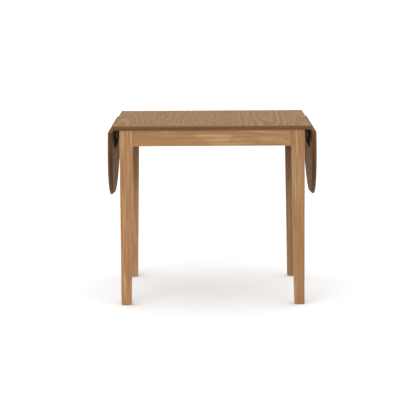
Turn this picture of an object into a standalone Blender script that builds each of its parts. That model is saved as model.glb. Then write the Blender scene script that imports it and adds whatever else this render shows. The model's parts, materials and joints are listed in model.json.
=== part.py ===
"""Drop leaf table with two half-oval leaves, shown with both leaves hanging.

Metres, +Z up, floor at z = 0, front towards -Y. The hinge lines run along Y. Everything that turns is built
in its opened position around its own axis, under an empty that lies on that axis and turns it to rest.
"""

import math

import bmesh
import bpy
from mathutils import Matrix, Vector

GAP = 0.0003

TOP_Z = 0.750
TOP_THICK = 0.018
TOP_WIDTH = 0.814
TOP_DEPTH = 0.750
EDGE_LAND = 0.0063
EDGE_INSET = 0.0115
ARRIS = 0.0008
UNDERSIDE_Z = TOP_Z - TOP_THICK

LEAF_LENGTH = 0.2998
LEAF_GAP = 0.001
LEAF_STEPS = 72
LEAF_SWING = math.radians(88.4)

FRAME_WIDTH = 0.7628
FRAME_DEPTH = 0.710
LEG_TOP = 0.054
LEG_FOOT = 0.042
LEG_ARRIS = 0.0016
APRON_THICK = 0.020
APRON_LOW_Z = 0.6645
APRON_SETBACK = 0.0045

GLIDE_RADIUS = 0.013
GLIDE_THICK = 0.002

BLOCK_THICK = 0.022
BLOCK_CLEAR = 0.003
BLOCK_LOW_Z = 0.677
BLOCK_HIGH_Z = 0.727
BOLT_Z = 0.702
BOLT_RADIUS = 0.004
BOLT_IN_LEG = 0.025
BOLT_BEYOND_BLOCK = 0.0145

CLIP_ARM = 0.020
CLIP_THICK = 0.002
CLIP_LENGTH = 0.018

AXIS_DROP = 0.00515
AXIS_INSET = 0.00285
AXIS_X = TOP_WIDTH / 2 + LEAF_GAP / 2 - AXIS_INSET
AXIS_Z = UNDERSIDE_Z - AXIS_DROP
LEAF_START = AXIS_INSET + LEAF_GAP / 2

HINGE_Y = 0.270
HINGE_LENGTH = 0.060
HINGE_PLATE_WIDTH = 0.0225
HINGE_PLATE_THICK = 0.0015
KNUCKLE_RADIUS = 0.0036
KNUCKLES = 5
PIN_RADIUS = 0.0016
RUNNING_CLEARANCE = 0.00007

BRACKET_Y = 0.170
BRACKET_SHIFT = AXIS_INSET
BRACKET_WIDTH = 0.030
BRACKET_THICK = 0.0025
BASE_LOW = -0.0560
CHEEK_INNER = 0.0036
CHEEK_THICK = 0.002
ARM_LENGTH = 0.0833
ARM_HALF_WIDTH = 0.013
ARM_PLATE_THICK = 0.002
HEEL_HALF = 0.003
RIVET_RADIUS = 0.0015
LEVER_HALF = 0.0032
LEVER_REACH = 0.0203
LEVER_PIVOT = (-0.0210, -0.0237)

ROUND = 24

FINISHES = {
    "veneer": ((0.376, 0.227, 0.133), 0.0, 0.45),
    "oak": ((0.402, 0.227, 0.109), 0.0, 0.50),
    "block_wood": ((0.470, 0.330, 0.190), 0.0, 0.65),
    "black_steel": ((0.012, 0.012, 0.012), 0.6, 0.45),
    "bronze_steel": ((0.120, 0.090, 0.060), 0.9, 0.40),
    "zinc": ((0.560, 0.560, 0.550), 1.0, 0.35),
    "nylon": ((0.110, 0.070, 0.045), 0.0, 0.55),
}


def circle(radius, count=ROUND, centre=(0.0, 0.0)):
    """A round outline of straight steps whose corners lie on the radius."""
    turns = [2 * math.pi * (step + 0.5) / count for step in range(count)]
    return [(centre[0] + radius * math.cos(turn), centre[1] + radius * math.sin(turn)) for turn in turns]


def rectangle(low, high):
    return [(low[0], low[1]), (high[0], low[1]), (high[0], high[1]), (low[0], high[1])]


def eased_rectangle(low, high, ease):
    """A rectangle with its four corners cut off at 45 degrees."""
    (x0, y0), (x1, y1) = low, high
    return [
        (x0 + ease, y0),
        (x1 - ease, y0),
        (x1, y0 + ease),
        (x1, y1 - ease),
        (x1 - ease, y1),
        (x0 + ease, y1),
        (x0, y1 - ease),
        (x0, y0 + ease),
    ]


def loft(rings):
    """A closed mesh through rings of equally many points, with a face across each end."""
    shape = bmesh.new()
    rows = [[shape.verts.new(point) for point in ring] for ring in rings]
    count = len(rows[0])
    for lower, upper in zip(rows, rows[1:]):
        for step in range(count):
            after = (step + 1) % count
            shape.faces.new((lower[step], lower[after], upper[after], upper[step]))
    shape.faces.new(list(reversed(rows[0])))
    shape.faces.new(rows[-1])
    bmesh.ops.recalc_face_normals(shape, faces=shape.faces)
    if shape.calc_volume(signed=True) < 0:
        bmesh.ops.reverse_faces(shape, faces=shape.faces)
    mesh = bpy.data.meshes.new("shape")
    shape.to_mesh(mesh)
    shape.free()
    return mesh


def at_station(point, station, axis):
    """A flat outline's point set at a distance along X, Y or Z; the outline's axes keep the order X, Y, Z."""
    first, second = point
    return {
        "X": (station, first, second),
        "Y": (first, station, second),
        "Z": (first, second, station),
    }[axis]


def prism(outline, start, end, axis):
    return loft([[at_station(point, station, axis) for point in outline] for station in (start, end)])


def stepped_rod(sections, axis, count=ROUND, centre=(0.0, 0.0)):
    """A turned shape from (station, radius) pairs along an axis."""
    rings = []
    for station, radius in sections:
        rings.append([at_station(point, station, axis) for point in circle(radius, count, centre)])
    return loft(rings)


def screw_head(centre, direction, radius=0.0030, height=0.0012, sink=0.0006):
    """A low domed head standing on a plate, its base sunk into the plate so that the two join."""
    sections = ((-sink, 1.0), (0.35 * height, 1.0), (0.80 * height, 0.80), (height, 0.45))
    rings = []
    for along, share in sections:
        rings.append([(x, y, along) for x, y in circle(radius * share, 12)])
    mesh = loft(rings)
    turn = Vector((0, 0, 1)).rotation_difference(Vector(direction)).to_matrix().to_4x4()
    mesh.transform(Matrix.Translation(Vector(centre)) @ turn)
    return mesh


def apply_boolean(body, mesh, operation):
    tool = bpy.data.objects.new("tool", mesh)
    bpy.context.scene.collection.objects.link(tool)
    modifier = body.modifiers.new("shape", "BOOLEAN")
    modifier.operation = operation
    modifier.solver = "EXACT"
    modifier.object = tool
    graph = bpy.context.evaluated_depsgraph_get()
    result = bpy.data.meshes.new_from_object(body.evaluated_get(graph))
    body.modifiers.clear()
    body.data = result
    bpy.data.objects.remove(tool)


def finish_of(name, kind):
    colour, metallic, roughness = FINISHES[kind]
    material = bpy.data.materials.new(name)
    material.use_nodes = True
    shader = material.node_tree.nodes["Principled BSDF"]
    shader.inputs["Base Color"].default_value = (*colour, 1.0)
    shader.inputs["Metallic"].default_value = metallic
    shader.inputs["Roughness"].default_value = roughness
    return material


def node(name, kind, solids, cuts=(), parent=None, offset=(0.0, 0.0, 0.0)):
    """One named solid: the first mesh with the others joined to it and the cuts taken away."""
    body = bpy.data.objects.new(name, solids[0])
    bpy.context.scene.collection.objects.link(body)
    for mesh in solids[1:]:
        apply_boolean(body, mesh, "UNION")
    for mesh in cuts:
        apply_boolean(body, mesh, "DIFFERENCE")
    body.data.name = name
    body.data.materials.clear()
    body.data.materials.append(finish_of(name, kind))
    body.data.shade_smooth()
    body.data.set_sharp_from_angle(angle=math.radians(32))
    body.parent = parent
    body.location = offset
    return body


def empty(name, matrix, parent=None):
    marker = bpy.data.objects.new(name, None)
    marker.empty_display_size = 0.03
    bpy.context.scene.collection.objects.link(marker)
    marker.parent = parent
    marker.matrix_local = matrix
    return marker


def tabletop():
    half = TOP_DEPTH / 2
    land_z = TOP_Z - EDGE_LAND
    outline = [
        (-half + EDGE_INSET, UNDERSIDE_Z),
        (half - EDGE_INSET, UNDERSIDE_Z),
        (half, land_z),
        (half, TOP_Z - ARRIS),
        (half - ARRIS, TOP_Z),
        (-half + ARRIS, TOP_Z),
        (-half, TOP_Z - ARRIS),
        (-half, land_z),
    ]
    node("table_top", "veneer", [prism(outline, -TOP_WIDTH / 2, TOP_WIDTH / 2, "X")])


def half_oval(inset, height):
    """Half an ellipse beyond the hinge line, drawn in by the inset along its own normals."""
    half = TOP_DEPTH / 2
    ring = []
    for step in range(LEAF_STEPS + 1):
        turn = math.pi * step / LEAF_STEPS
        x, y = LEAF_LENGTH * math.sin(turn), -half * math.cos(turn)
        normal = Vector((x / LEAF_LENGTH**2, y / half**2)).normalized()
        ring.append((LEAF_START + x - inset * normal.x, y - inset * normal.y, height))
    return ring


def leaf(side, hinge):
    low = AXIS_DROP
    high = AXIS_DROP + TOP_THICK
    rings = [
        half_oval(EDGE_INSET, low),
        half_oval(0.0, high - EDGE_LAND),
        half_oval(0.0, high - ARRIS),
        half_oval(ARRIS, high),
    ]
    node(f"leaf_{side}", "veneer", [loft(rings)], parent=hinge)


def leg_ring(size, height, ease):
    """A leg's eased square section, held to its outer corner at the origin and growing towards +X and +Y."""
    return [(x, y, height) for x, y in eased_rectangle((0.0, 0.0), (size, size), ease)]


def corner(name, sign_x, sign_y):
    """Leg, glide, corner block, hanger bolt and wing nut of one corner.

    The corner is built in its own frame: origin on the leg's outer corner, +X and +Y pointing into the table.
    """
    turn = {(1, -1): 90, (1, 1): 180, (-1, 1): 270, (-1, -1): 0}[(sign_x, sign_y)]
    place = Matrix.Translation((sign_x * FRAME_WIDTH / 2, sign_y * FRAME_DEPTH / 2, 0.0))
    frame = empty(f"corner_{name}", place @ Matrix.Rotation(math.radians(turn), 4, "Z"))

    foot_z = GLIDE_THICK + GAP
    ease = 0.0015
    rings = [
        leg_ring(LEG_FOOT, foot_z, LEG_ARRIS + ease),
        leg_ring(LEG_FOOT, foot_z + ease, LEG_ARRIS),
        leg_ring(LEG_TOP, APRON_LOW_Z, LEG_ARRIS),
        leg_ring(LEG_TOP, UNDERSIDE_Z - GAP, LEG_ARRIS),
    ]
    diagonal = Matrix.Translation((LEG_TOP, LEG_TOP, BOLT_Z)) @ Matrix.Rotation(math.radians(45), 4, "Z")
    bolt_hole = stepped_rod(((-BOLT_IN_LEG - GAP, BOLT_RADIUS + GAP), (0.100, BOLT_RADIUS + GAP)), "X")
    bolt_hole.transform(diagonal)
    node(f"leg_{name}", "oak", [loft(rings)], [bolt_hole], frame)

    middle = (LEG_FOOT / 2, LEG_FOOT / 2)
    pad = ((0.0, GLIDE_RADIUS - 0.0008), (0.0008, GLIDE_RADIUS), (GLIDE_THICK, GLIDE_RADIUS))
    node(f"glide_{name}", "nylon", [stepped_rod(pad, "Z", centre=middle)], parent=frame)

    inner_face = APRON_SETBACK + APRON_THICK + GAP
    near = 2 * LEG_TOP + BLOCK_CLEAR
    far = near + BLOCK_THICK * math.sqrt(2)
    plan = [
        (near - inner_face, inner_face),
        (far - inner_face, inner_face),
        (inner_face, far - inner_face),
        (inner_face, near - inner_face),
    ]
    block_hole = stepped_rod(((-0.010, BOLT_RADIUS + GAP), (0.100, BOLT_RADIUS + GAP)), "X")
    block_hole.transform(diagonal)
    block = prism(plan, BLOCK_LOW_Z, BLOCK_HIGH_Z, "Z")
    node(f"corner_block_{name}", "block_wood", [block], [block_hole], frame)

    block_end = BLOCK_CLEAR / math.sqrt(2) + BLOCK_THICK
    bolt_end = block_end + BOLT_BEYOND_BLOCK
    bolt = stepped_rod(
        (
            (-BOLT_IN_LEG, 0.5 * BOLT_RADIUS),
            (-BOLT_IN_LEG + 0.004, BOLT_RADIUS),
            (bolt_end - 0.001, BOLT_RADIUS),
            (bolt_end, 0.8 * BOLT_RADIUS),
        ),
        "X",
        16,
    )
    bolt.transform(diagonal)
    node(f"hanger_bolt_{name}", "zinc", [bolt], parent=frame)

    nut_start = block_end + GAP
    hub = stepped_rod(
        (
            (nut_start, 0.0100),
            (nut_start + 0.0015, 0.0100),
            (nut_start + 0.0016, 0.0070),
            (nut_start + 0.0075, 0.0060),
        ),
        "X",
    )
    solids = [hub]
    for sign in (1, -1):
        wing = [
            (nut_start + 0.0030, sign * 0.0045),
            (nut_start + 0.0040, sign * 0.0105),
            (nut_start + 0.0085, sign * 0.0155),
            (nut_start + 0.0130, sign * 0.0150),
            (nut_start + 0.0125, sign * 0.0110),
            (nut_start + 0.0070, sign * 0.0045),
        ]
        solids.append(prism(wing, -0.0012, 0.0012, "Z"))
    bore_radius = BOLT_RADIUS + 0.0001
    bore = stepped_rod(((nut_start - 0.002, bore_radius), (nut_start + 0.012, bore_radius)), "X", 16)
    for mesh in (*solids, bore):
        mesh.transform(diagonal)
    node(f"wing_nut_{name}", "zinc", solids, [bore], frame)


def apron_section(outer, inner):
    """A rail's section with the two lower arrises eased."""
    ease = 0.001
    toward = math.copysign(ease, inner - outer)
    return [
        (outer, APRON_LOW_Z + ease),
        (outer + toward, APRON_LOW_Z),
        (inner - toward, APRON_LOW_Z),
        (inner, APRON_LOW_Z + ease),
        (inner, UNDERSIDE_Z - GAP),
        (outer, UNDERSIDE_Z - GAP),
    ]


def aprons():
    span_x = FRAME_WIDTH / 2 - LEG_TOP - GAP
    span_y = FRAME_DEPTH / 2 - LEG_TOP - GAP
    face_x = FRAME_WIDTH / 2 - APRON_SETBACK
    face_y = FRAME_DEPTH / 2 - APRON_SETBACK
    for name, sign in (("front", -1), ("back", 1)):
        section = apron_section(sign * face_y, sign * (face_y - APRON_THICK))
        node(f"apron_{name}", "oak", [prism(section, -span_x, span_x, "X")])
    for name, sign in (("left", -1), ("right", 1)):
        section = apron_section(sign * face_x, sign * (face_x - APRON_THICK))
        node(f"apron_{name}", "oak", [prism(section, -span_y, span_y, "Y")])


def angle_clips():
    """Steel angles that hold the top to the inside of each apron."""
    high = UNDERSIDE_Z - GAP
    outline = [
        (GAP, high - CLIP_ARM),
        (GAP + CLIP_THICK, high - CLIP_ARM),
        (GAP + CLIP_THICK, high - CLIP_THICK),
        (GAP + CLIP_ARM, high - CLIP_THICK),
        (GAP + CLIP_ARM, high),
        (GAP, high),
    ]
    inner_x = FRAME_WIDTH / 2 - APRON_SETBACK - APRON_THICK
    inner_y = FRAME_DEPTH / 2 - APRON_SETBACK - APRON_THICK
    spots = {
        "front": (0.0, -inner_y, 90),
        "right": (inner_x, 0.0, 180),
        "back": (0.0, inner_y, 270),
        "left": (-inner_x, 0.0, 0),
    }
    for name, (x, y, turn) in spots.items():
        place = Matrix.Translation((x, y, 0.0)) @ Matrix.Rotation(math.radians(turn), 4, "Z")
        frame = empty(f"clip_{name}", place)
        middle = GAP + CLIP_THICK + 0.55 * (CLIP_ARM - CLIP_THICK)
        solids = [
            prism(outline, -CLIP_LENGTH / 2, CLIP_LENGTH / 2, "Y"),
            screw_head((middle, 0.0, high - CLIP_THICK), (0, 0, -1)),
            screw_head((GAP + CLIP_THICK, 0.0, high - 0.55 * CLIP_ARM - CLIP_THICK), (1, 0, 0)),
        ]
        node(f"angle_clip_{name}", "zinc", solids, parent=frame)


def knuckle_spans(first):
    """The lengths of barrel that one hinge plate owns: every other one, from the given number."""
    pitch = HINGE_LENGTH / KNUCKLES
    for number in range(first, KNUCKLES, 2):
        low = -HINGE_LENGTH / 2 + number * pitch
        yield (low + (GAP / 2 if number else 0.0), low + pitch - (GAP / 2 if number < KNUCKLES - 1 else 0.0))


def hinge_plate(name, sign, first, parent, offset):
    """One flap of a hinge, opened flat under the top: sign -1 lies towards the frame, +1 under the leaf."""
    high = AXIS_DROP - GAP
    low = high - HINGE_PLATE_THICK
    edge = KNUCKLE_RADIUS + GAP
    far = edge + HINGE_PLATE_WIDTH
    near_x, far_x = sorted((sign * edge, sign * far))
    flap = eased_rectangle((near_x, -HINGE_LENGTH / 2), (far_x, HINGE_LENGTH / 2), 0.001)
    solids = [prism(flap, low, high, "Z")]
    near_x, far_x = sorted((0.0, sign * (edge + 0.0012)))
    tab = rectangle((near_x, 0.0), (far_x, high))
    for start, end in knuckle_spans(first):
        solids.append(prism(tab, start, end, "Y"))
        solids.append(stepped_rod(((start, KNUCKLE_RADIUS), (end, KNUCKLE_RADIUS)), "Y", 20))
    for y in (-0.020, 0.0, 0.020):
        reach = 0.0165 if y else 0.0105
        solids.append(screw_head((sign * (edge + reach), y, low), (0, 0, -1), 0.0028, 0.0008, 0.0005))
    bore_radius = PIN_RADIUS + RUNNING_CLEARANCE
    bore = stepped_rod(((-HINGE_LENGTH, bore_radius), (HINGE_LENGTH, bore_radius)), "Y", 20)
    node(name, "bronze_steel", solids, [bore], parent, offset)


def flap_hinge(tag, y, fixed, hinge):
    offset = (0.0, y, 0.0)
    hinge_plate(f"hinge_top_plate_{tag}", -1, 0, fixed, offset)
    hinge_plate(f"hinge_leaf_plate_{tag}", 1, 1, hinge, offset)
    half = HINGE_LENGTH / 2 + 0.0004
    pin = stepped_rod(((-half, PIN_RADIUS), (half, PIN_RADIUS)), "Y", 20)
    node(f"hinge_pin_{tag}", "bronze_steel", [pin], parent=fixed, offset=offset)


def bracket_base(tag, parent, offset):
    """Steel base on the side apron: back plate, top flange, two cheeks, and stops for lever and heel."""
    back = FRAME_WIDTH / 2 - APRON_SETBACK + GAP - AXIS_X - BRACKET_SHIFT
    face = back + BRACKET_THICK
    high = AXIS_DROP - BRACKET_SHIFT - GAP
    half = BRACKET_WIDTH / 2
    solids = [
        prism(eased_rectangle((back, -half), (face, half), 0.0004), BASE_LOW, high, "Z"),
        prism(rectangle((back + 0.0005, -half), (-0.0170, half)), 0.0003, high, "Z"),
        prism(rectangle((back + 0.0010, -0.0290), (-0.0240, -0.0265)), -0.0038, 0.0038, "Y"),
        prism(rectangle((-0.0240, -0.0054), (-0.0180, 0.0010)), -0.0038, 0.0038, "Y"),
    ]
    cheek = [
        (back + 0.0012, 0.0012),
        (back + 0.0012, BASE_LOW + 0.0010),
        (-0.0165, BASE_LOW + 0.0010),
        (-0.0110, BASE_LOW + 0.0080),
        (-0.0095, BASE_LOW + 0.0160),
        (-0.0095, -0.0015),
        (-0.0115, 0.0012),
    ]
    for low_y in (CHEEK_INNER, -CHEEK_INNER - CHEEK_THICK):
        solids.append(prism(cheek, low_y, low_y + CHEEK_THICK, "Y"))
    for y in (-0.0105, 0.0105):
        for z in (-0.0110, BASE_LOW + 0.0090):
            solids.append(screw_head((face, y, z), (1, 0, 0)))
        solids.append(screw_head((-0.0220, y, 0.0003), (0, 0, -1)))
    bore_radius = RIVET_RADIUS + RUNNING_CLEARANCE
    bore = stepped_rod(((-0.008, bore_radius), (0.008, bore_radius)), "Y", 20, LEVER_PIVOT)
    node(f"bracket_base_{tag}", "black_steel", solids, [bore], parent, offset)


def bracket_arm(tag, parent, offset):
    """Pointed channel under the leaf, with a heel that reaches past the hinge line to meet the lever."""
    thick = ARM_PLATE_THICK
    half = ARM_HALF_WIDTH
    plan = [
        (0.0060, -half),
        (0.0563, -half),
        (ARM_LENGTH, -0.0030),
        (ARM_LENGTH, 0.0030),
        (0.0563, half),
        (0.0060, half),
    ]
    rib = [
        (0.0060, 0.0010),
        (0.0060, -0.0022),
        (0.0330, -0.0028),
        (0.0480, -0.0118),
        (0.0571, -0.0128),
        (ARM_LENGTH - 0.0010, -0.0030),
        (ARM_LENGTH - 0.0010, 0.0010),
    ]
    heel = [
        (-0.0004, 0.0010),
        (-0.0004, -0.0240),
        (0.0001, -0.0245),
        (0.0058, -0.0245),
        (0.0066, -0.0237),
        (0.0145, -0.0040),
        (0.0145, 0.0010),
    ]
    solids = [prism(plan, 0.0, thick, "Z"), prism(heel, -HEEL_HALF, HEEL_HALF, "Y")]
    for low_y in (0.0042, -0.0062):
        solids.append(prism(rib, low_y, low_y + 0.0020, "Y"))
    for x in (0.0130, 0.0483):
        for y in (-0.0095, 0.0095):
            solids.append(screw_head((x, y, 0.0), (0, 0, -1), 0.0027))
    node(f"bracket_arm_{tag}", "black_steel", solids, parent=parent, offset=offset)


def bracket_lever(tag, parent):
    """Hanging lock lever about its own pivot: hub, strut, finger nib and the tail that meets its stop."""
    solids = [
        stepped_rod(((-LEVER_HALF, 0.0035), (LEVER_HALF, 0.0035)), "Y"),
        prism(rectangle((-0.0025, -LEVER_REACH), (0.0025, 0.0)), -LEVER_HALF, LEVER_HALF, "Y"),
        prism(rectangle((-0.0060, -LEVER_REACH), (0.0, -LEVER_REACH + 0.0038)), -LEVER_HALF, LEVER_HALF, "Y"),
        prism(rectangle((-0.0025, 0.0), (-0.0006, 0.0062)), -LEVER_HALF, LEVER_HALF, "Y"),
    ]
    bore_radius = RIVET_RADIUS + RUNNING_CLEARANCE
    bore = stepped_rod(((-0.006, bore_radius), (0.006, bore_radius)), "Y", 20)
    node(f"bracket_lever_{tag}", "black_steel", solids, [bore], parent)


def bracket_rivet(tag, parent):
    inner = CHEEK_INNER + CHEEK_THICK + GAP
    outer = inner + 0.0010
    sections = (
        (-outer, 0.0018),
        (-inner - 0.0004, 0.0026),
        (-inner, 0.0026),
        (-inner + 0.00001, RIVET_RADIUS),
        (inner - 0.00001, RIVET_RADIUS),
        (inner, 0.0026),
        (inner + 0.0004, 0.0026),
        (outer, 0.0018),
    )
    node(f"bracket_rivet_{tag}", "black_steel", [stepped_rod(sections, "Y", 20)], parent=parent)


def leaf_side(side, sign):
    """A leaf with its hinges and locking brackets. The left side is the right side turned half round."""
    turn = Matrix.Rotation(0.0 if sign > 0 else math.pi, 4, "Z")
    place = Matrix.Translation((sign * AXIS_X, 0.0, AXIS_Z)) @ turn
    fixed = empty(f"hinge_line_{side}", place)
    hinge = empty(f"leaf_axis_{side}", place @ Matrix.Rotation(LEAF_SWING, 4, "Y"))
    leaf(side, hinge)
    for end, y in (("front", -1), ("back", 1)):
        tag = f"{side}_{end}"
        flap_hinge(tag, sign * y * HINGE_Y, fixed, hinge)
        offset = (BRACKET_SHIFT, sign * y * BRACKET_Y, BRACKET_SHIFT)
        bracket_base(tag, fixed, offset)
        bracket_arm(tag, hinge, offset)
        pivot_place = Matrix.Translation(Vector(offset) + Vector((LEVER_PIVOT[0], 0.0, LEVER_PIVOT[1])))
        pivot = empty(f"lever_axis_{tag}", pivot_place, fixed)
        bracket_lever(tag, pivot)
        bracket_rivet(tag, pivot)


for old in list(bpy.data.objects):
    bpy.data.objects.remove(old)

tabletop()
aprons()
angle_clips()
for end, sign_y in (("front", -1), ("back", 1)):
    for side, sign_x in (("left", -1), ("right", 1)):
        corner(f"{end}_{side}", sign_x, sign_y)
leaf_side("right", 1)
leaf_side("left", -1)
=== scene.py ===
"""Looks of the drop leaf table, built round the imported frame. Metres, +Z up, front towards -Y."""

import json
import math

import bmesh
import bpy
from mathutils import Matrix, Vector


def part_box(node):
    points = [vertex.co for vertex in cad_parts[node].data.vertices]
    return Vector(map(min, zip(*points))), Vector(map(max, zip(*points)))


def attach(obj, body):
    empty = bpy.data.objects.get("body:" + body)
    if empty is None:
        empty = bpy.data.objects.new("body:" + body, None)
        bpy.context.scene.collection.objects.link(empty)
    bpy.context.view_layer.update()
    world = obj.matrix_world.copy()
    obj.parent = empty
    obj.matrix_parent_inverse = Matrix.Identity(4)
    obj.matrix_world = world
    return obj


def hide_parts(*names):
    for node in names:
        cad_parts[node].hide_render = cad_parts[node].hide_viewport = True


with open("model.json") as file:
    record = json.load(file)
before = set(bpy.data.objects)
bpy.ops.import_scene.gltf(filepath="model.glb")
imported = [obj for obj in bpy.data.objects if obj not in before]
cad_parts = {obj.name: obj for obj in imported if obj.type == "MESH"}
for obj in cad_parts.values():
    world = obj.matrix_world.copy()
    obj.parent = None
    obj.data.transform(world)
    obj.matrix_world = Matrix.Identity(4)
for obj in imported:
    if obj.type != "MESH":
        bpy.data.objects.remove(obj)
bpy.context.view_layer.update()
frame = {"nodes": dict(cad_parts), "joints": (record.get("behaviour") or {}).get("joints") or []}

EDGE_LAND = 0.0063
EDGE_INSET = 0.0115
LEAF_START = 0.00335
LEAF_STEPS = 144
LEAF_SWING = math.radians(88.4)
LEG_TOP = 0.054
LEG_FOOT = 0.042
SIDES = {"left": -1, "right": 1}
ENDS = {"front": -1, "back": 1}


# ---------------------------------------------------------------- shader building


def linear(*levels):
    """A colour given as 8-bit display levels, as the linear RGBA that a shader takes."""
    shares = [level / 255 for level in levels]
    return (*[s / 12.92 if s <= 0.04045 else ((s + 0.055) / 1.055) ** 2.4 for s in shares], 1.0)


def shaded(tones, share):
    """The same colours, darker or lighter by the share."""
    return tuple((red * share, green * share, blue * share, 1.0) for red, green, blue, _ in tones)


class Shade:
    """A material whose nodes are made by short calls that return sockets."""

    def __init__(self, name):
        self.material = bpy.data.materials.new(name)
        self.material.use_nodes = True
        self.tree = self.material.node_tree
        self.shader = self.tree.nodes["Principled BSDF"]

    def feed(self, socket, value):
        if isinstance(value, bpy.types.NodeSocket):
            self.tree.links.new(value, socket)
        else:
            socket.default_value = value

    def node(self, kind, inputs=(), **settings):
        made = self.tree.nodes.new(kind)
        for key, value in settings.items():
            setattr(made, key, value)
        for key, value in dict(inputs).items():
            self.feed(made.inputs[key], value)
        return made

    def math(self, operation, first, second=0.0, third=0.0):
        inputs = {0: first, 1: second, 2: third}
        return self.node("ShaderNodeMath", inputs, operation=operation).outputs[0]

    def add(self, first, second):
        return self.math("ADD", first, second)

    def times(self, first, second):
        return self.math("MULTIPLY", first, second)

    def length(self, first, second):
        squares = self.add(self.math("POWER", first, 2.0), self.math("POWER", second, 2.0))
        return self.math("SQRT", squares)

    def split(self, vector):
        return self.node("ShaderNodeSeparateXYZ", {0: vector}).outputs

    def join(self, x, y, z):
        return self.node("ShaderNodeCombineXYZ", {0: x, 1: y, 2: z}).outputs[0]

    def scaled(self, colour, share):
        inputs = {0: colour, "Scale": share}
        return self.node("ShaderNodeVectorMath", inputs, operation="SCALE").outputs[0]

    def noise(self, vector, scale, detail=2.0, roughness=0.5, distortion=0.0):
        inputs = {"Vector": vector, "Scale": scale, "Detail": detail}
        inputs.update({"Roughness": roughness, "Distortion": distortion})
        return self.node("ShaderNodeTexNoise", inputs).outputs

    def ramp(self, value, stops):
        """A smooth curve from 0 to 1 through (place, level) stops."""
        made = self.node("ShaderNodeValToRGB", {0: value})
        self.fill(made.color_ramp, [(place, (level, level, level, 1.0)) for place, level in stops])
        return made.outputs["Color"]

    def pick(self, value, low, high, rows):
        """Four values that change in steps along a coordinate.

        Each row is (start, (four values within 0 to 1)).
        """
        made = self.node("ShaderNodeValToRGB", {0: self.spread(value, low, high)})
        made.color_ramp.interpolation = "CONSTANT"
        self.fill(made.color_ramp, [((start - low) / (high - low), values) for start, values in rows])
        return (*self.split(made.outputs["Color"]), made.outputs["Alpha"])

    @staticmethod
    def fill(ramp, stops):
        while len(ramp.elements) > max(len(stops), 1):
            ramp.elements.remove(ramp.elements[-1])
        while len(ramp.elements) < len(stops):
            ramp.elements.new(1.0)
        for element, (place, level) in zip(ramp.elements, stops):
            element.position = max(place, 0.0)
            element.color = level

    def mix(self, share, first, second):
        made = self.node("ShaderNodeMix", data_type="RGBA")
        self.feed(made.inputs["Factor"], share)
        self.feed(made.inputs["A"], first)
        self.feed(made.inputs["B"], second)
        return made.outputs["Result"]

    def spread(self, value, low, high, to_low=0.0, to_high=1.0):
        inputs = {"Value": value, "From Min": low, "From Max": high, "To Min": to_low, "To Max": to_high}
        return self.node("ShaderNodeMapRange", inputs).outputs["Result"]

    def bump(self, height, strength, distance):
        inputs = {"Height": height, "Strength": strength, "Distance": distance}
        self.feed(self.shader.inputs["Normal"], self.node("ShaderNodeBump", inputs).outputs["Normal"])

    def set(self, **values):
        for key, value in values.items():
            self.feed(self.shader.inputs[key.replace("_", " ")], value)


# ---------------------------------------------------------------- wood

OAK = (linear(171, 140, 96), linear(108, 78, 47), linear(137, 93, 57))
VENEER = (linear(156, 124, 86), linear(114, 85, 53), linear(140, 103, 66))
EDGE = (linear(119, 86, 55), linear(83, 57, 34), linear(101, 68, 42))
# Darker tones for the boards' undersides and the leaves' inner faces: painted shade, the face veneer darkened
# for the shade under the table.
SHADED_BACKING = (linear(138, 106, 71), linear(88, 63, 40), linear(118, 84, 53))
RAW = (linear(196, 168, 124), linear(170, 132, 88), linear(182, 148, 104))

PITH_REACH = 0.1
RING_PROFILE = [(0.0, 1.0), (0.2, 0.7), (0.6, 0.15), (0.93, 0.0), (1.0, 0.8)]

LOOK = {
    "ring": 0.55,
    "group": 0.43,
    "broad": 0.45,
    "streak": 0.70,
    "streak_scale": 95.0,
    "cloud": 0.45,
    "cloud_scale": 12.0,
    "fibre": 0.07,
    "pores": 0.32,
    # The wear share below is painted highlight on the rounded edges: lighter patches standing for light
    # catching them.
    "wear": 0.0,
    "rough": 0.50,
    "gloss": 0.25,
    "bump": 0.35,
}


def into_wood(along, across, depth, turn=None, origin=(0.0, 0.0, 0.0), shift=(0.0, 0.0, 0.0)):
    """Rotation and offset that take a piece's coordinates to (along the grain, across it, into the board)."""
    rows = Matrix((along, across, depth))
    turned = rows @ turn if turn else rows
    offset = rows @ Vector(origin) - turned @ Vector(origin) + Vector(shift)
    return turned.to_euler("XYZ"), offset


def grain_space(shade, space):
    turn, offset = space
    place = shade.node("ShaderNodeTexCoord").outputs["Object"]
    inputs = {"Vector": place, "Rotation": turn, "Location": offset}
    return shade.split(shade.node("ShaderNodeMapping", inputs, vector_type="POINT").outputs[0])


def stretched(shade, grain, share, seed=0.0):
    """Grain coordinates squeezed along the grain, so that noise read from them is drawn out into fibres."""
    return shade.join(shade.times(grain[0], share), grain[1], shade.add(grain[2], seed))


def swayed(shade, grain, seed, scale, reach):
    """Slow wander of the growth rings, in metres, across the board and into it."""
    cells = stretched(shade, grain, 0.28, seed)
    wander = shade.split(shade.noise(cells, scale, 2.0, 0.5)["Color"])
    return [shade.spread(part, 0.0, 1.0, -reach, reach) for part in (wander[0], wander[1])]


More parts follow.
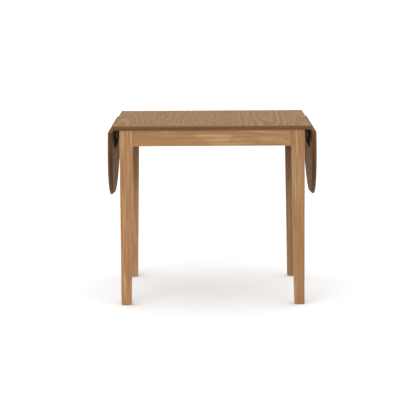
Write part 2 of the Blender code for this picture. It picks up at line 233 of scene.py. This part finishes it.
def finish_wood(shade, grain, rings, tone, tones, look):
    """Colour, pores, roughness and bump of oak from its grain coordinates and its count of growth rings."""
    light, dark, warm = tones
    early = shade.ramp(shade.math("FRACT", rings), RING_PROFILE)
    inputs = {"W": rings, "Scale": look["group"], "Detail": 2.0}
    which = shade.node("ShaderNodeTexNoise", inputs, noise_dimensions="1D").outputs[0]
    band = shade.times(early, shade.spread(which, 0.30, 0.70, 0.3, 1.0))

    pores = shade.spread(shade.noise(stretched(shade, grain, 0.05), 1400.0, 2.0, 0.6)["Fac"], 0.55, 0.66)
    pores = shade.times(pores, shade.spread(early, 0.0, 1.0, 0.2, 1.0))
    fibre = shade.noise(stretched(shade, grain, 0.02), 420.0, 3.0, 0.6)["Fac"]
    streak = shade.noise(stretched(shade, grain, 0.035, 1.9), look["streak_scale"], 2.0, 0.55)["Fac"]
    cloud = shade.noise(stretched(shade, grain, 0.40, 3.7), look["cloud_scale"], 2.0, 0.5, 0.4)["Fac"]

    colour = shade.mix(shade.times(band, look["ring"]), light, dark)
    colour = shade.mix(shade.times(shade.spread(which, 0.42, 0.60), look["broad"]), colour, dark)
    colour = shade.mix(shade.times(shade.spread(streak, 0.45, 0.57), look["streak"]), colour, warm)
    colour = shade.mix(shade.times(shade.spread(cloud, 0.38, 0.66), look["cloud"]), colour, warm)
    colour = shade.mix(shade.spread(tone, 0.0, 1.0, 0.6, 0.0), colour, warm)
    fine = shade.spread(fibre, 0.35, 0.65, 1.0 + look["fibre"], 1.0 - look["fibre"])
    fine = shade.times(fine, shade.spread(pores, 0.0, 1.0, 1.0, 1.0 - look["pores"]))
    # Painted highlight: rounded edges lightened in patches towards a brighter copy of the light tone.
    if look["wear"]:
        patches = shade.noise(stretched(shade, grain, 0.15, 6.1), 60.0, 3.0, 0.6)["Fac"]
        rubbed_and_highlit = shade.spread(patches, 0.40, 0.60)
        colour = shade.mix(shade.times(rubbed_and_highlit, look["wear"]), colour, shaded(tones, 1.25)[0])
    colour = shade.scaled(colour, fine)
    satin = shade.spread(fibre, 0.3, 0.7, look["rough"] - 0.04, look["rough"] + 0.05)
    rough = shade.math("MULTIPLY_ADD", pores, 0.14, satin)
    shade.set(Base_Color=colour, Roughness=rough, Specular_IOR_Level=look["gloss"])
    relief = shade.math("MULTIPLY_ADD", early, -0.25, shade.times(fibre, 0.3))
    shade.bump(shade.math("SUBTRACT", relief, pores), look["bump"], 0.0003)
    return shade.material


def solid_wood(name, space, tones=OAK, staves=None, split_by=1, ring_width=0.0045, lean=0.02, **changes):
    """Sawn wood: rings round a pith beside the board, which leans a little along it.

    The board is glued up from staves, rows of (start, (pith across, pith depth, tone, unused)), which follow
    each other across the grain, or end to end where split_by is 0. A stave's pith is up to PITH_REACH away.
    """
    shade = Shade(name)
    grain = grain_space(shade, space)
    rows = staves or [(-1.0, (0.75, 0.45, 0.8, 1.0))]
    across, depth, tone, _ = shade.pick(grain[split_by], -1.0, 1.0, rows)
    seed = shade.math("MULTIPLY_ADD", across, 9.1, shade.times(depth, 5.3))
    sway = swayed(shade, grain, seed, 11.0, 0.014)
    tilt = shade.times(grain[0], lean)
    from_pith = shade.math("MULTIPLY_ADD", across, PITH_REACH, shade.add(grain[1], shade.add(tilt, sway[0])))
    below = shade.math("MULTIPLY_ADD", depth, PITH_REACH, shade.add(grain[2], sway[1]))
    rings = shade.math("DIVIDE", shade.length(from_pith, below), ring_width)
    return finish_wood(shade, grain, rings, tone, tones, {**LOOK, **changes})


SHEETS = (
    (-0.75, -0.670, 0.06, 0.035, 0.6),
    (-0.59, -0.520, -0.08, 0.050, 0.9),
    (-0.45, -0.375, 0.10, 0.030, 1.0),
    (-0.30, -0.220, -0.07, 0.022, 0.95),
    (-0.14, -0.055, 0.09, 0.026, 0.75),
    (0.005, 0.070, 0.085, 0.010, 0.55),
    (0.150, 0.235, -0.08, 0.018, 0.65),
    (0.310, 0.390, 0.06, 0.045, 0.45),
    (0.450, 0.530, -0.10, 0.030, 0.9),
    (0.600, 0.680, 0.07, 0.040, 0.7),
)
REACH = 0.75
SLOPE = 0.2
HEIGHT = 0.1


def veneer(name, space, tones=VENEER, ring_width=0.0055, **changes):
    """Crown-cut veneer laid in sheets side by side, each with its own nested arches along the grain.

    SHEETS holds for each its start and the middle of its arches across the board, the slope of the cut along
    the grain, its height over the pith at the board's middle, and its tone.
    """
    shade = Shade(name)
    grain = grain_space(shade, space)
    rows = []
    for start, middle, slope, height, tone in SHEETS:
        values = ((middle + REACH) / (2 * REACH), (slope + SLOPE) / (2 * SLOPE), height / HEIGHT, tone)
        rows.append((start, values))
    middle, slope, height, tone = shade.pick(grain[1], -REACH, REACH, rows)
    sway = swayed(shade, grain, shade.times(middle, 7.0), 13.0, 0.019)
    side = shade.math("SUBTRACT", grain[1], shade.spread(middle, 0.0, 1.0, -REACH, REACH))
    side = shade.add(side, sway[0])
    rise = shade.times(grain[0], shade.spread(slope, 0.0, 1.0, -SLOPE, SLOPE))
    below = shade.math("MULTIPLY_ADD", height, HEIGHT, shade.add(rise, sway[1]))
    rings = shade.math("DIVIDE", shade.length(side, below), ring_width)
    rings = shade.math("MULTIPLY_ADD", middle, 37.0, rings)
    return finish_wood(shade, grain, rings, tone, tones, {**LOOK, **changes})


# ---------------------------------------------------------------- metal and plastic


def metal(name, colour, metallic, roughness, wear, worn_colour, gloss=0.5):
    """Steel with fine uneven roughness, faint tarnish and small rubbed specks."""
    shade = Shade(name)
    place = shade.node("ShaderNodeTexCoord").outputs["Object"]
    fine = shade.noise(place, 900.0, 3.0, 0.6)["Fac"]
    worn_and_highlit = shade.spread(shade.noise(place, 260.0, 4.0, 0.7)["Fac"], 0.60, 0.72, 0.0, wear)
    level = shade.spread(shade.noise(place, 90.0, 2.0, 0.5)["Fac"], 0.3, 0.7, 0.84, 1.12)
    shade.set(
        Base_Color=shade.scaled(shade.mix(worn_and_highlit, colour, worn_colour), level),
        Metallic=metallic,
        Roughness=shade.spread(fine, 0.3, 0.7, roughness - 0.07, roughness + 0.07),
        Specular_IOR_Level=gloss,
    )
    shade.bump(fine, 0.15, 0.0001)
    return shade.material


def moulded(name, colour, rubbed_and_highlit):
    """Plastic with a fine matt moulding texture and scuffed patches."""
    shade = Shade(name)
    place = shade.node("ShaderNodeTexCoord").outputs["Object"]
    fine = shade.noise(place, 1400.0, 2.0, 0.6)["Fac"]
    patches = shade.spread(shade.noise(place, 120.0, 3.0, 0.6)["Fac"], 0.45, 0.65, 0.0, 0.6)
    shade.set(
        Base_Color=shade.mix(patches, colour, rubbed_and_highlit),
        Roughness=shade.spread(fine, 0.3, 0.7, 0.45, 0.62),
    )
    shade.bump(fine, 0.2, 0.0001)
    return shade.material


# ---------------------------------------------------------------- mesh building


def loft(name, rings, indices=()):
    """A closed mesh through rings of points.

    The indices are materials, for the first end, each band and the last end.
    """
    shape = bmesh.new()
    rows = [[shape.verts.new(point) for point in ring] for ring in rings]
    count = len(rows[0])
    slots = list(indices) or [0] * (len(rows) + 1)
    for band, (lower, upper) in enumerate(zip(rows, rows[1:])):
        for step in range(count):
            after = (step + 1) % count
            face = shape.faces.new((lower[step], lower[after], upper[after], upper[step]))
            face.material_index = slots[band + 1]
    shape.faces.new(list(reversed(rows[0]))).material_index = slots[0]
    shape.faces.new(rows[-1]).material_index = slots[-1]
    bmesh.ops.recalc_face_normals(shape, faces=shape.faces)
    if shape.calc_volume(signed=True) < 0:
        bmesh.ops.reverse_faces(shape, faces=shape.faces)
    mesh = bpy.data.meshes.new(name)
    shape.to_mesh(mesh)
    shape.free()
    return mesh


def piece(name, mesh, materials, body, replaced):
    """A new piece on its body, in place of the frame's own node."""
    made = bpy.data.objects.new(name, mesh)
    bpy.context.scene.collection.objects.link(made)
    for material in materials:
        mesh.materials.append(material)
    mesh.shade_smooth()
    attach(made, body)
    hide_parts(replaced)
    return made


def soften(made, width, segments=3, angle=28):
    """Rounds the sharp edges and keeps the flat faces flat in shading."""
    edge = made.modifiers.new("arris", "BEVEL")
    edge.width = width
    edge.segments = segments
    edge.limit_method = "ANGLE"
    edge.angle_limit = math.radians(angle)
    # The rounded edges take the last material, which carries painted highlight.
    edge.material = len(made.data.materials) - 1
    normals = made.modifiers.new("flat_faces", "WEIGHTED_NORMAL")
    normals.keep_sharp = True
    normals.weight = 100
    return made


# ---------------------------------------------------------------- top and leaves

TOP_LOW, TOP_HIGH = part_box("table_top")
AXIS = {joint["name"]: Vector(joint["pos_m"]) for joint in frame["joints"]}
ALONG_HINGES = ((0, 1, 0), (1, 0, 0), (0, 0, -1))
ALONG_FRONT = ((1, 0, 0), (0, 1, 0), (0, 0, 1))
FACED = dict(broad=0.75, streak=0.3, rough=0.6, gloss=0.05)
BACKED = dict(ring_width=0.0045, broad=0.8, streak=0.8, rough=0.65, gloss=0.04)
EDGING = dict(ring_width=0.0035, rough=0.58, gloss=0.08)
# The undercut shares darken the downward-facing bevels below the edging: painted shade.
TOP_EDGE, TOP_UNDERCUT_SHADE = 1.0, 0.93
# The leaf edge share makes the leaves' edging darker than the top's, for the shade where they hang: painted
# shade.
LEAF_EDGE_SHADE, LEAF_UNDERCUT_SHADE = 0.87, 0.61
UPRIGHT = 0.1
SQUARE_ON = 0.9
TOP_ARRIS = 0.0006
LEAF_ARRIS = 0.0009


def board_space(side=None, shift=(0.0, 0.0, 0.0)):
    """Grain along the hinge lines. A leaf reads the coordinates that it has when it is raised."""
    if side is None:
        return into_wood(*ALONG_HINGES, shift=shift)
    turn = Matrix.Rotation(-SIDES[side] * LEAF_SWING, 3, "Y")
    return into_wood(*ALONG_HINGES, turn, AXIS[f"{side}_leaf_hinge"], shift)


def board_materials(tag, side=None):
    space = board_space(side)
    under = board_space(side, (0.31, 0.0, 0.0))
    level, undercut_shade = (LEAF_EDGE_SHADE, LEAF_UNDERCUT_SHADE) if side else (TOP_EDGE, TOP_UNDERCUT_SHADE)
    return [
        veneer(f"veneer_{tag}", space, **FACED),
        # Underside veneer, darkened with painted shade.
        veneer(f"shaded_backing_{tag}", under, SHADED_BACKING, **BACKED),
        # On a leaf the level darkens the edging with painted shade.
        solid_wood(f"edge_{tag}", space, shaded(EDGE, level), **EDGING),
        # Undercut bevel, the edging darkened with painted shade.
        solid_wood(f"undercut_{tag}", space, shaded(EDGE, undercut_shade), **EDGING),
        # Rounded edges with painted highlight.
        solid_wood(f"arris_{tag}", space, shaded(EDGE, level), wear=0.3, **EDGING),
    ]


def make_top():
    half = TOP_HIGH.y
    low, high = TOP_LOW.z, TOP_HIGH.z
    land = high - EDGE_LAND
    outline = [
        (-half + EDGE_INSET, low),
        (half - EDGE_INSET, low),
        (half, land),
        (half, high),
        (-half, high),
        (-half, land),
    ]
    mesh = loft("top_board", [[(x, y, z) for y, z in outline] for x in (TOP_LOW.x, TOP_HIGH.x)])
    for face in mesh.polygons:
        if abs(face.normal.z) > SQUARE_ON:
            face.material_index = 0 if face.normal.z > 0 else 1
        elif abs(face.normal.x) > SQUARE_ON:
            face.material_index = 2
        else:
            face.material_index = 3 if abs(face.normal.z) < UPRIGHT else 4
    faced, backed, edged, _, worn_and_highlit = board_materials("top")
    space = into_wood(*ALONG_FRONT)
    ends = solid_wood("edge_top_ends", space, EDGE, **EDGING)
    # Front and back bevels, the edging darkened with painted shade.
    undercut = solid_wood("undercut_top_ends", space, shaded(EDGE, TOP_UNDERCUT_SHADE), **EDGING)
    materials = [faced, backed, edged, ends, undercut, worn_and_highlit]
    soften(piece("top_board", mesh, materials, "frame", "table_top"), TOP_ARRIS)


def half_oval(inset, height, half, length):
    """Half an ellipse beyond the hinge line, drawn in by the inset along its own normals."""
    ring = []
    for step in range(LEAF_STEPS + 1):
        turn = math.pi * step / LEAF_STEPS
        x, y = length * math.sin(turn), -half * math.cos(turn)
        normal = Vector((x / length**2, y / half**2)).normalized()
        ring.append(Vector((LEAF_START + x - inset * normal.x, y - inset * normal.y, height)))
    return ring


def make_leaf(side):
    axis = AXIS[f"{side}_leaf_hinge"]
    low, high = TOP_LOW.z - axis.z, TOP_HIGH.z - axis.z
    land = high - EDGE_LAND
    drop = axis.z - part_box(f"leaf_{side}")[0].z
    length = (drop + land * math.cos(LEAF_SWING)) / math.sin(LEAF_SWING) - LEAF_START
    place = Matrix.Translation(axis) @ Matrix.Rotation(0.0 if side == "right" else math.pi, 4, "Z")
    place = place @ Matrix.Rotation(LEAF_SWING, 4, "Y")
    half = TOP_HIGH.y
    rings = [half_oval(EDGE_INSET, low, half, length)]
    rings += [half_oval(0.0, height, half, length) for height in (land, high)]
    name = f"leaf_board_{side}"
    mesh = loft(name, [[place @ point for point in ring] for ring in rings], (1, 3, 2, 0))
    for face in mesh.polygons:
        if face.normal.z > SQUARE_ON:
            face.material_index = 2
    materials = board_materials(f"{side}_leaf", side)
    soften(piece(name, mesh, materials, f"{side}_leaf", f"leaf_{side}"), LEAF_ARRIS)


# ---------------------------------------------------------------- frame

SQUARE = ((0, 0), (1, 0), (1, 1), (0, 1))
LEG_ARRIS = 0.0018
RAIL_ARRIS = 0.0010
LEG_WOOD = {
    "front_left": dict(
        staves=[(-1.0, (0.72, 0.90, 0.9, 1.0)), (0.030, (0.35, 0.80, 0.55, 1.0))],
        ring_width=0.0046,
        lean=0.010,
        ring=0.9,
        streak=1.0,
        streak_scale=150.0,
    ),
    "front_right": dict(
        staves=[(-1.0, (0.52, 0.45, 1.0, 1.0)), (0.027, (0.10, 0.28, 0.10, 1.0))],
        tones=shaded(OAK, 0.93),
        ring_width=0.0065,
        lean=0.030,
        ring=0.7,
        cloud=0.9,
        streak_scale=130.0,
    ),
    "back_left": dict(
        staves=[(-1.0, (0.85, 0.40, 0.9, 1.0)), (0.027, (0.4, 0.6, 0.6, 1.0))],
        tones=shaded(OAK, 1.08),
        lean=-0.015,
    ),
    "back_right": dict(
        staves=[(-1.0, (0.70, 0.55, 0.3, 1.0)), (0.024, (0.2, 0.7, 0.6, 1.0))],
        tones=shaded(OAK, 0.78),
        lean=0.022,
    ),
}
RAIL_WOOD = {
    "front": [(-1.0, (0.20, 0.30, 0.85, 1.0)), (0.11, (0.55, 0.15, 0.35, 1.0))],
    "back": [(-1.0, (0.30, 0.50, 0.5, 1.0)), (-0.07, (0.65, 0.25, 0.9, 1.0))],
    "left": [(-1.0, (0.25, 0.35, 0.7, 1.0)), (0.12, (0.60, 0.40, 0.4, 1.0))],
    "right": [(-1.0, (0.50, 0.25, 0.4, 1.0)), (-0.05, (0.15, 0.45, 0.8, 1.0))],
}


def make_leg(end, side, number):
    """A leg from its foot to the apron's lower edge, where its taper starts, and on to the top."""
    name = f"{end}_{side}"
    low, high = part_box(f"leg_{name}")
    sign_x, sign_y = SIDES[side], ENDS[end]
    corner = Vector((high.x if sign_x > 0 else low.x, high.y if sign_y > 0 else low.y))
    rings = []
    for size, height in ((LEG_FOOT, low.z), (LEG_TOP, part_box("apron_front")[0].z), (LEG_TOP, high.z)):
        xs = sorted((corner.x, corner.x - sign_x * size))
        ys = sorted((corner.y, corner.y - sign_y * size))
        rings.append([(xs[i], ys[j], height) for i, j in SQUARE])
    near_x = min(corner.x, corner.x - sign_x * LEG_TOP)
    space = into_wood((0, 0, 1), (1, 0, 0), (0, 1, 0), shift=(0.9 * number, -near_x, -corner.y))
    flat = solid_wood(f"oak_leg_{name}", space, **LEG_WOOD[name])
    # Rounded edges with painted highlight.
    worn_and_highlit = solid_wood(f"arris_leg_{name}", space, wear=0.6, **LEG_WOOD[name])
    mesh = loft(f"leg_post_{name}", rings)
    post = piece(f"leg_post_{name}", mesh, [flat, worn_and_highlit], "frame", f"leg_{name}")
    soften(post, LEG_ARRIS, 4)


def make_apron(name):
    low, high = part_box(f"apron_{name}")
    corners = [(low.x, low.y), (high.x, low.y), (high.x, high.y), (low.x, high.y)]
    mesh = loft(f"rail_{name}", [[(x, y, z) for x, y in corners] for z in (low.z, high.z)])
    axes = ((1, 0, 0), (0, 0, 1), (0, -1, 0)) if name in ENDS else ((0, 1, 0), (0, 0, 1), (1, 0, 0))
    space = into_wood(*axes, shift=(0.0, -low.z, 0.4))
    look = dict(staves=RAIL_WOOD[name], split_by=0, ring_width=0.0055, lean=0.03)
    flat = solid_wood(f"oak_rail_{name}", space, **look)
    # Rounded edges with painted highlight.
    worn_and_highlit = solid_wood(f"arris_rail_{name}", space, wear=0.5, **look)
    rail = piece(f"rail_{name}", mesh, [flat, worn_and_highlit], "frame", f"apron_{name}")
    soften(rail, RAIL_ARRIS)


# ---------------------------------------------------------------- hardware kept from the frame

BLACK = metal("black_steel", linear(14, 14, 14), 0.0, 0.45, 0.25, linear(52, 50, 48), 0.3)
BRONZE = metal("bronzed_steel", linear(96, 80, 62), 0.9, 0.42, 0.35, linear(140, 118, 88))
ZINC = metal("zinc_steel", linear(188, 189, 190), 1.0, 0.34, 0.30, linear(140, 138, 132))
NYLON = moulded("brown_nylon", linear(92, 70, 54), linear(118, 96, 78))


def hardware_material(name):
    if name.startswith("bracket_"):
        return BLACK
    if name.startswith("hinge_"):
        return BRONZE
    if name.startswith("glide_"):
        return NYLON
    if name.startswith("corner_block_"):
        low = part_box(name)[0]
        facing = 1.0 if low.x * low.y > 0 else -1.0
        along = Vector((facing, -1.0, 0.0)).normalized()
        across = Vector((1.0, facing, 0.0)).normalized()
        space = into_wood(along, across, along.cross(across), shift=(low.x * 3, 0.0, low.y * 2))
        return solid_wood(f"raw_{name}", space, RAW, ring_width=0.0040, gloss=0.12, rough=0.72)
    return ZINC


def finish_hardware():
    for name, shown in frame["nodes"].items():
        if not shown.hide_render:
            shown.data.materials.clear()
            shown.data.materials.append(hardware_material(name))


# ---------------------------------------------------------------- stage

LENS = 151.64
SENSOR_WIDTH = 36.0
CAMERA_PLACE = (-0.00838, -7.52707, 1.42003)
CAMERA_YAW = -0.0014322
CAMERA_PITCH = 0.1402109
CAMERA_ROLL = -0.0057297
FLOOR_RADIUS = 90.0
SKY_STRENGTH = 1.12
SUNS = {"key": (20, -20, 42, 1.2), "fill": (7, 8, 50, 0.3)}


def make_camera():
    level_ahead = Vector((math.sin(CAMERA_YAW), math.cos(CAMERA_YAW), 0.0))
    ahead = math.cos(CAMERA_PITCH) * level_ahead - math.sin(CAMERA_PITCH) * Vector((0.0, 0.0, 1.0))
    level_right = Vector((math.cos(CAMERA_YAW), -math.sin(CAMERA_YAW), 0.0))
    across = math.cos(CAMERA_ROLL) * level_right + math.sin(CAMERA_ROLL) * level_right.cross(ahead)
    up = across.cross(ahead)
    camera = bpy.data.objects.new("camera", bpy.data.cameras.new("camera"))
    bpy.context.scene.collection.objects.link(camera)
    turn = Matrix((across, up, -ahead)).transposed().to_4x4()
    camera.matrix_world = Matrix.Translation(CAMERA_PLACE) @ turn
    camera.data.lens = LENS
    camera.data.sensor_width = SENSOR_WIDTH
    bpy.context.scene.camera = camera


def soft_sun(name, elevation, turn, spread, strength):
    """Even light from a wide patch of sky, given in degrees.

    Turn 0 comes from the front and a positive turn from the right.
    """
    data = bpy.data.lights.new(name, "SUN")
    data.energy = strength
    data.angle = math.radians(spread)
    light = bpy.data.objects.new(name, data)
    bpy.context.scene.collection.objects.link(light)
    light.rotation_euler = (math.radians(90 - elevation), 0.0, math.radians(turn))


def make_stage():
    shade = Shade("pale_floor")
    shade.set(Base_Color=(0.95, 0.95, 0.95, 1.0), Roughness=0.9, Specular_IOR_Level=0.1)
    shape = bmesh.new()
    bmesh.ops.create_circle(shape, cap_ends=True, radius=FLOOR_RADIUS, segments=64)
    mesh = bpy.data.meshes.new("floor")
    shape.to_mesh(mesh)
    shape.free()
    mesh.materials.append(shade.material)
    floor = bpy.data.objects.new("floor", mesh)
    bpy.context.scene.collection.objects.link(floor)

    world = bpy.data.worlds.new("studio")
    world.use_nodes = True
    sky = world.node_tree.nodes["Background"]
    sky.inputs["Color"].default_value = (1.0, 1.0, 1.0, 1.0)
    sky.inputs["Strength"].default_value = SKY_STRENGTH
    bpy.context.scene.world = world
    bpy.context.scene.view_settings.view_transform = "Standard"
    for name, settings in SUNS.items():
        soft_sun(name, *settings)


make_camera()
make_stage()
make_top()
for side_name in SIDES:
    make_leaf(side_name)
for index, (end_name, side_name) in enumerate((end, side) for end in ENDS for side in SIDES):
    make_leg(end_name, side_name, index + 1)
for rail_name in RAIL_WOOD:
    make_apron(rail_name)
finish_hardware()
